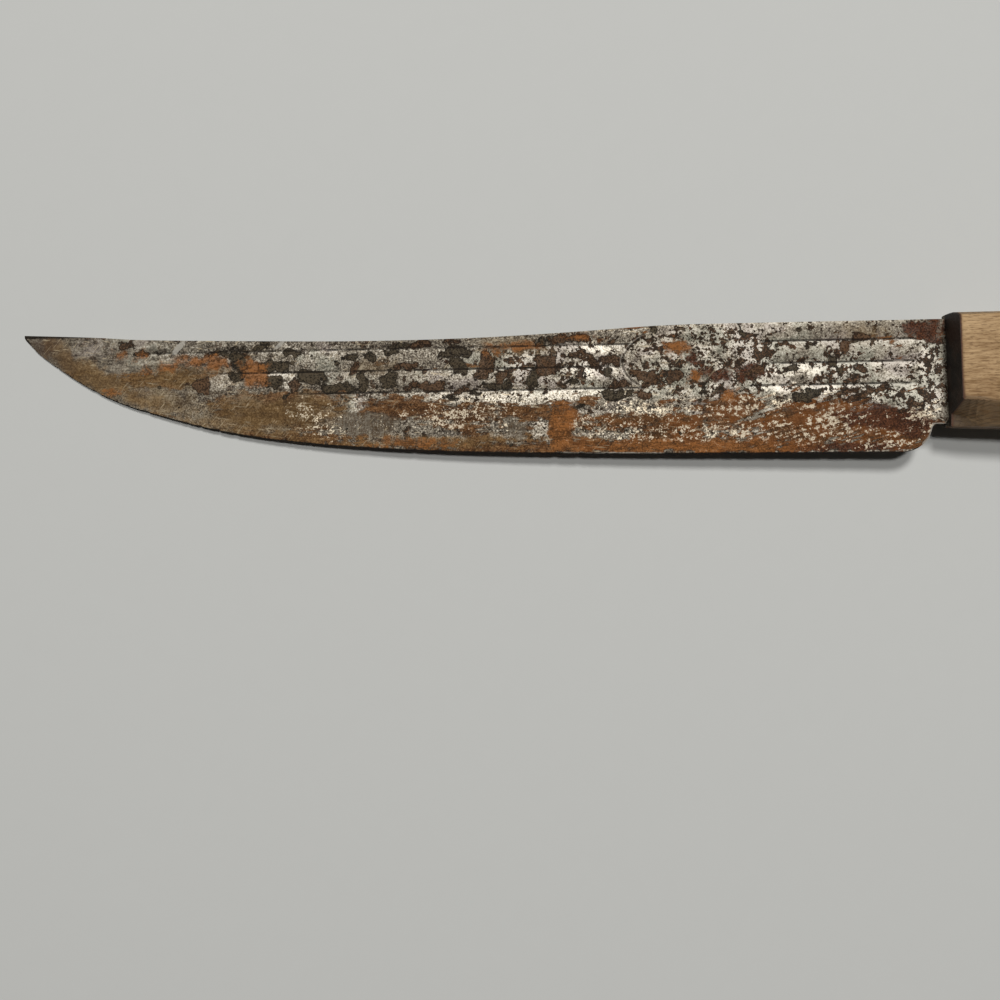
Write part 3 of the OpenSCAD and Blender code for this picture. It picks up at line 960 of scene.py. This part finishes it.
@dataclass
class Blade:
    """The reeded blade with its tang, cut fine enough to carry its rust.

    Sizes are in metres down to the nicks, and in millimetres from there on.
    """

    node: str = "blade"
    grid: float = 0.5 * MM
    tang_grid: float = 3.0 * MM
    root: float = 62.5 * MM
    tip_end: float = -182.0 * MM
    worn_edge: float = 0.12 * MM
    crust: float = 0.05 * MM
    pitting: float = 0.05 * MM
    nick: float = 0.22 * MM
    far: float = 9.0
    heel_x: float = 51.85
    heel_y: float = -11.13
    heel_r: float = 7.5
    arc_start: float = 56.4
    arc_foot: float = -17.0
    neck: tuple[float, float] = (59.3, 64.0)
    ground_edge: tuple[float, float] = (-40.0, -12.0)
    ground_w: float = 0.2
    panel: Patch = Patch(-3.65, 6.97, 20.2, 9.9)
    reed_start: float = -161.0
    reed_slant: float = 3.7
    reed_fade: float = 12.0
    reed_end: float = 55.5
    top_valley: float = 12.1
    pile_turn: float = -120.0
    pile_seed: float = 40.0

    def build(self, steel: Material) -> None:
        """Models the blade and dresses it in its steel."""
        piece = copy_node(self.node, "blade_steel")
        low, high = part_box(self.node)
        round_edges(piece, self.worn_edge, 1, self._is_back_edge)
        slice_across(piece, 0, low.x + self.grid, self.root, self.grid)
        slice_across(piece, 0, self.root, high.x, self.tang_grid)
        slice_across(piece, 1, low.y + self.grid, high.y, self.grid)
        self._mark_and_press(piece)
        finish_piece(piece, self.node, steel, 28)

    def _is_back_edge(self, edge: BMEdge) -> bool:
        """Picks the square edges of the spine, heel and neck."""
        first, second = (abs(face.normal.z) for face in edge.link_faces)
        middle = (edge.verts[0].co + edge.verts[1].co) / 2
        square = max(first, second) > 0.9 and min(first, second) < 0.3
        on_spine = middle.y > 10 * MM and middle.x > self.tip_end
        return square and middle.x < self.root and (on_spine or middle.x > 55 * MM)

    def _mark_and_press(self, piece: Object) -> None:
        """Works out each vertex's stains, stores them and shapes the rust."""
        places = read_rows(piece.data.vertices, "co") / MM
        facing = read_rows(piece.data.vertex_normals, "vector")
        x, y = places[:, 0], places[:, 1]
        upper = facing[:, 2] >= 0
        flat = np.column_stack((x, y, np.where(upper, 0.0, self.pile_seed)))
        warp_x = 1.6 * clouds(flat, 5.0, 3.1) + 0.8 * clouds(flat, 1.7, 5.3)
        warp_y = 1.1 * clouds(flat, 4.0, 7.7) + 0.6 * clouds(flat, 1.5, 9.1)
        turned = np.where(upper, x, self.pile_turn - x)
        fields: dict[Stain, Points] = {}
        for stain, marks in STAINS.items():
            crisp = stain is Stain.GLINT
            spot = (turned, y) if crisp else (turned + warp_x, y + warp_y)
            depths = [patch.depth(*spot) for patch in marks]
            fields[stain] = np.maximum(np.maximum.reduce(depths), -self.far)
            log.info("%s: %d patches", stain.value, len(marks))
        rim = np.where(x > 56.0, self.far, above_lowest(x, y, 0.3))
        ground = self._ground(x, y, rim)
        fields[Stain.GLINT] = np.maximum(fields[Stain.GLINT], ground)
        self._scatter(fields, flat, upper)
        for stain, values in fields.items():
            store_mark(piece, stain.value, values)
        panel = self._past_panel(x, y)
        store_mark(piece, "rim", rim)
        store_mark(piece, "reeded", self._reeded(x, y, (panel > 0) | ~upper))
        store_mark(piece, "panel", np.where(upper, panel, 3.0))
        self._press_relief(piece, fields, flat, facing, rim)

    def _scatter(self, fields: dict[Stain, Points], flat: Points, upper: Points) -> None:
        """Adds the small marks that stand in no patch, and rusts the tang."""
        x, y = flat[:, 0], flat[:, 1]
        reeds = 1 / (1 + np.exp(-(y + 2.5)))
        bands = clouds(flat * np.array([0.4, 1, 1]), 5.0, 21.9)
        scattered = {
            Stain.OXIDE: (clouds(flat, 4.5, 13.7) - 0.85 + 0.15 * reeds) * 4.0,
            Stain.BROWN: (clouds(flat, 6.0, 17.3) - 0.85) * 5.0,
            Stain.RUST: (bands - 0.3 - 0.5 * reeds) * 4.0,
        }
        for stain, values in scattered.items():
            fields[stain] = np.maximum(fields[stain], values)
        fields[Stain.RUST][~upper] += 0.6
        fields[Stain.OXIDE][~upper] += 0.2
        buried = x > self.root / MM + 1.5
        fields[Stain.RUST][buried] = 2.0
        fields[Stain.BROWN][buried] = 1.0

    def _ground(self, x: Points, y: Points, rim: Points) -> Points:
        """Measures how far inside the freshly ground lines each vertex lies."""
        off_arc = np.abs(np.hypot(x - self.heel_x, y - self.heel_y) - self.heel_r)
        on_arc = (x > self.arc_start) & (y < self.heel_y) & (y > self.arc_foot)
        heel = np.where(on_arc, 0.42 - off_arc, -self.far)
        on_neck = (x > self.neck[0]) & (x < self.neck[1])
        neck = np.where(on_neck, self.ground_w - np.abs(y - self.heel_y), -self.far)
        start, end = self.ground_edge
        along = np.minimum(x - start, end - x) / 16
        edge = np.minimum(self.ground_w - np.abs(rim - 0.15), along)
        return np.maximum.reduce([heel, neck, edge])

    def _past_panel(self, x: Points, y: Points) -> Points:
        """Measures how far outside the oval panel each vertex lies, in mm."""
        length, height = self.panel.length, self.panel.height
        along, across = (x - self.panel.x) / length, (y - self.panel.y) / height
        share, steep = np.hypot(along, across), np.hypot(along / length, across / height)
        return np.clip((share - 1) * share / np.maximum(steep, 0.001), -3, 3)

    def _reeded(self, x: Points, y: Points, clear: Points) -> Points:
        """Masks where the reeds run, clear of the oval panel and the heel."""
        start = self.reed_start + self.reed_slant * (self.top_valley - y)
        share = np.clip((x - start) / self.reed_fade, 0, 1)
        run = (x < self.reed_end - 0.08 * np.abs(y)) & clear
        return run * (0.35 + 0.65 * share) * (share > 0)

    def _press_relief(
        self,
        piece: Object,
        fields: dict[Stain, Points],
        flat: Points,
        facing: Points,
        rim: Points,
    ) -> None:
        """Raises the crusts, sinks the pits and nicks the cutting edge."""
        broad = (np.abs(facing[:, 2]) > 0.97) & (flat[:, 0] < self.root / MM)
        inner = np.clip(rim - 0.3, 0, 1) * broad
        rough = 0.5 + clouds(flat, 1.2, 27.1)

        def raised(stain: Stain, width: float) -> Points:
            """Turns a stain's depth into a share from 0 to 1."""
            return np.clip(fields[stain] / width + 0.5, 0, 1)

        crust = np.maximum(raised(Stain.RUST, 1.5), raised(Stain.ORANGE, 1.0))
        press(piece, "crust", crust * rough * inner, self.crust)
        islands = np.maximum(raised(Stain.OXIDE, 0.7), raised(Stain.BROWN, 0.7))
        press(piece, "islands", islands * (0.5 + 0.5 * rough) * inner, -self.pitting)
        waves = clouds(flat * np.array([1, 0, 0]), 2.3, 31.7, 4)
        edge = (rim < 0.7) & (flat[:, 0] < 50)
        bite = np.clip(waves * 2.2 - 0.35, 0, 1) * np.clip(1 - rim / 0.7, 0, 1) * edge
        press(piece, "nicks", bite, self.nick, "Y")


@dataclass
class Scale:
    """One of the two wooden scales that make the handle.

    Sizes are in metres down to the dip, and in millimetres from there on.
    """

    side: Side
    node: str
    grid: float = 0.8 * MM
    worn_edge: float = 0.35 * MM
    dip: float = 0.05 * MM
    front: float = 63.4
    front_slant: float = 0.026
    front_y: float = 2.4
    bevel_h: float = 6.8
    smear: float = 1.6

    def build(self, beech: Material) -> None:
        """Models the scale and dresses it in its wood."""
        piece = copy_node(self.node, self.node + "_wood")
        round_edges(piece, self.worn_edge, 2, self._is_outer_edge)
        low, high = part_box(self.node)
        for axis in range(3):
            slice_across(piece, axis, low[axis] + self.grid, high[axis], self.grid)
        self._mark_and_press(piece)
        finish_piece(piece, self.node, beech, 35)

    def _is_outer_edge(self, edge: BMEdge) -> bool:
        """Picks the edges that a hand has worn, not those against the tang."""
        first, second = (face.normal for face in edge.link_faces)
        middle = (edge.verts[0].co + edge.verts[1].co) / 2 / MM
        in_hole = any(
            math.hypot(middle.x - x, middle.y - y) < RIVET_HEAD + 0.6
            for x, y in rivet_places()
        )
        sharp = first.angle(second, 0) > math.radians(24)
        return sharp and (middle.z - MIDDLE) * self.side.value > 1.6 and not in_hole

    def _mark_and_press(self, piece: Object) -> None:
        """Stores the grime with painted shade and the dark front, and wears the grain hollow."""
        places = read_rows(piece.data.vertices, "co") / MM
        facing = read_rows(piece.data.vertex_normals, "vector")
        x, y, z = places.T
        outward = facing[:, 2] * self.side.value
        # painted shade: faces that turn away from the top are darkened
        slope = np.clip((0.93 - outward) / 0.25, 0, 1)
        rise = above_lowest(x, y, 1.6)
        wander = clouds(places * np.array([0.35, 0.6, 1]), 4.0, 8.1) * 1.8
        # the grip's bevel and its hollow are darkened, partly for hand grime and partly as painted
        # shade
        bevel = np.clip((self.bevel_h + self.smear + wander - rise) / 2.4, 0, 1)
        hollow = np.clip((outward - 0.66) / 0.2, 0, 1) * np.clip(6.2 - rise, 0, 1)
        # painted shade: faces turned down, away from the lamps, are darkened
        under = np.clip((-facing[:, 1] - 0.75) / 0.2, 0, 1)
        behind = x - self.front - self.front_slant * (self.front_y - y)
        end_grain = np.clip(-facing[:, 0] * 1.6 - 0.3, 0, 1)
        end_grain *= np.clip(1.3 - behind / 0.5, 0, 1)
        singed = np.exp(-np.clip(behind, 0, None) / 0.6) * 0.62
        rivets = np.min([np.hypot(x - a, y - b) for a, b in rivet_places()], axis=0)
        halo = np.exp(-np.clip(rivets - RIVET_HEAD, 0, None) / 0.8) * 0.6
        off_middle = np.abs(z - MIDDLE)
        # darker along the joint with the tang: dirt in the joint and painted shade
        seam = np.exp(-np.clip(off_middle - 1.2, 0, None) / 0.7) * 0.7
        # this mark holds both hand grime and painted shade
        grip = np.maximum(bevel * 0.86 + hollow * 0.4, under * 1.2)
        store_mark(piece, "grime_and_shade", np.maximum.reduce([slope * 0.86, grip, halo, seam]))
        store_mark(piece, "burn", np.maximum(end_grain, singed))
        grain = clouds(places * np.array([0.12, 1, 0.8]), 1.6, 2.3)
        hold = np.clip(off_middle - 1.6, 0, 1) * (rivets > RIVET_HEAD + 0.6)
        press(piece, "grain", np.clip(0.5 + grain, 0, 1) * hold, -self.dip)


@dataclass
class RivetPart:
    """The stud or the barrel of a two-part cutler's rivet."""

    node: str
    worn_edge: float = 0.25 * MM

    def build(self, brass: Material) -> None:
        """Models the part and dresses it in its brass."""
        piece = copy_node(self.node, self.node + "_brass")
        low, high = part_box(self.node)
        outer = high.z if high.z > 15 * MM else low.z
        round_edges(piece, self.worn_edge, 3, lambda edge: self._is_rim(edge, outer))
        finish_piece(piece, self.node, brass, 35)

    def _is_rim(self, edge: BMEdge, outer: float) -> bool:
        """Picks the edge round the head's outer face."""
        sharp = edge.calc_face_angle(0) > math.radians(40)
        return sharp and all(abs(end.co.z - outer) < 0.02 * MM for end in edge.verts)


@dataclass
class PhotoCamera:
    """A phone held square above the table, as the photograph was taken."""

    height: float = 271.0 * MM
    right: float = 120.70 * MM
    up: float = 34.69 * MM
    roll: float = 0.8
    tip_drop: float = 2.25
    front: Vector = Vector((63.345 * MM, 2.871 * MM, MIDDLE * MM))
    lens: float = 36.0
    sensor: float = 36.0

    def axes(self) -> Matrix:
        """Finds the camera's right, up and back directions, as rows."""
        roll = Matrix.Rotation(math.radians(self.roll), 3, "Z")
        return roll @ Matrix.Rotation(math.radians(-self.tip_drop), 3, "Y")

    def build(self) -> None:
        """Makes the camera and puts it above the knife."""
        turn = self.axes().transposed()
        offset = Vector((self.right, self.up, -self.height))
        lens = bpy.data.cameras.new("photo_camera")
        lens.sensor_fit = "HORIZONTAL"
        lens.sensor_width = self.sensor
        lens.lens = self.lens
        lens.clip_start = 0.01
        lens.clip_end = 20.0
        camera = bpy.data.objects.new("photo_camera", lens)
        bpy.context.scene.collection.objects.link(camera)
        place = Matrix.Translation(self.front - turn @ offset)
        camera.matrix_world = place @ turn.to_4x4()
        bpy.context.scene.camera = camera
        log.info("camera %.3f m above the handle's front", self.height)


@dataclass
class Table:
    """The pale table top, which the point and the handle's front edge touch."""

    size: float = 3.0
    gap: float = 0.05 * MM
    cells: int = 8

    def build(self, up: Vector, paint: Material) -> None:
        """Makes the top in its paint, just under the knife and facing up."""
        lowest = min(point.co.dot(up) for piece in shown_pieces() for point in piece.data.vertices)
        bpy.ops.mesh.primitive_grid_add(
            x_subdivisions=self.cells, y_subdivisions=self.cells, size=self.size
        )
        top = bpy.context.active_object
        top.name = "table_top"
        turn = Vector((0, 0, 1)).rotation_difference(up).to_matrix().to_4x4()
        top.data.transform(Matrix.Translation(up * (lowest - self.gap)) @ turn)
        top.data.materials.append(paint)
        top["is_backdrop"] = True
        log.info("table top %.2f mm under the frame's origin", -lowest / MM)


@dataclass(frozen=True)
class Lamp:
    """A round soft box, by its place in the sky above the knife."""

    name: str
    lean: float
    width: float
    share: float


@dataclass
class Studio:
    """Two soft boxes overhead and a pale, dim room."""

    lamps: tuple[Lamp, ...] = (
        Lamp("upright_lamp", lean=9.5, width=0.2, share=0.4),
        Lamp("leaning_lamp", lean=25.0, width=0.38, share=0.6),
    )
    distance: float = 2.0
    side: float = 3.0
    key: float = 0.95
    fill: float = 0.03
    room: float = 0.85
    tint: Colour = (1.0, 1.0, 0.985)

    def build(self, up: Vector) -> None:
        """Hangs the lamps above the table, which faces up, and lights the room."""
        for lamp in self.lamps:
            self._hang(lamp, up)
        self._light_room()

    def _hang(self, lamp: Lamp, up: Vector) -> None:
        """Hangs one lamp, leaning from the table's upright towards the spine."""
        lean, side = math.radians(lamp.lean), math.radians(self.side)
        way = Vector((math.tan(side), math.tan(lean), 1)).normalized()
        light = bpy.data.lights.new(lamp.name, "AREA")
        light.shape = "DISK"
        light.size = lamp.width
        light.energy = self.key * lamp.share * math.pi**2 * self.distance**2 / way.z
        way = Vector((0, 0, 1)).rotation_difference(up) @ way
        soft_box = bpy.data.objects.new(lamp.name, light)
        bpy.context.scene.collection.objects.link(soft_box)
        soft_box.location = way * self.distance
        soft_box.rotation_mode = "QUATERNION"
        soft_box.rotation_quaternion = way.to_track_quat("Z", "Y")
        log.info("%s %.0f degrees off the table's upright", lamp.name, lamp.lean)

    def _light_room(self) -> None:
        """Fills the room dimly, but shows it pale to the camera and to gloss."""
        world = bpy.data.worlds.new("pale_room")
        bpy.context.scene.world = world
        bench = Bench(world)
        rays = [
            bench.node("LightPath", output=f"Is {kind} Ray")
            for kind in ("Camera", "Glossy", "Transmission")
        ]
        strength = bench.node(
            "MapRange",
            sockets={
                "Value": rays[0].most(*rays[1:]),
                "To Min": self.fill,
                "To Max": self.room,
            },
        )
        shine = bench.node("Background", sockets={"Color": self.tint, "Strength": strength})
        bench.node("OutputWorld", sockets={"Surface": shine})


class ButcherKnife:
    """The whole knife: a blade, two scales and three two-part rivets."""

    def build(self) -> None:
        """Builds every piece in order."""
        Blade().build(RustedSteel().build())
        beech = OldBeech().build()
        for side in Side:
            Scale(side, f"{side.name.lower()}_side_scale").build(beech)
        brass = AgedBrass().build()
        for rivet in RIVETS:
            for half in ("stud", "barrel"):
                RivetPart(f"{rivet}_rivet_{half}").build(brass)


def main() -> None:
    """Builds the knife, its table, the light and the camera."""
    logging.basicConfig(level=logging.INFO, format="%(relativeCreated)6d ms %(message)s")
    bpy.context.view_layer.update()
    camera = PhotoCamera()
    camera.build()
    ButcherKnife().build()
    up = Vector(camera.axes()[2])
    Table().build(up, PaleTop().build())
    Studio().build(up)
    bpy.context.scene.view_settings.view_transform = "Standard"


if __name__ == "__main__":
    main()
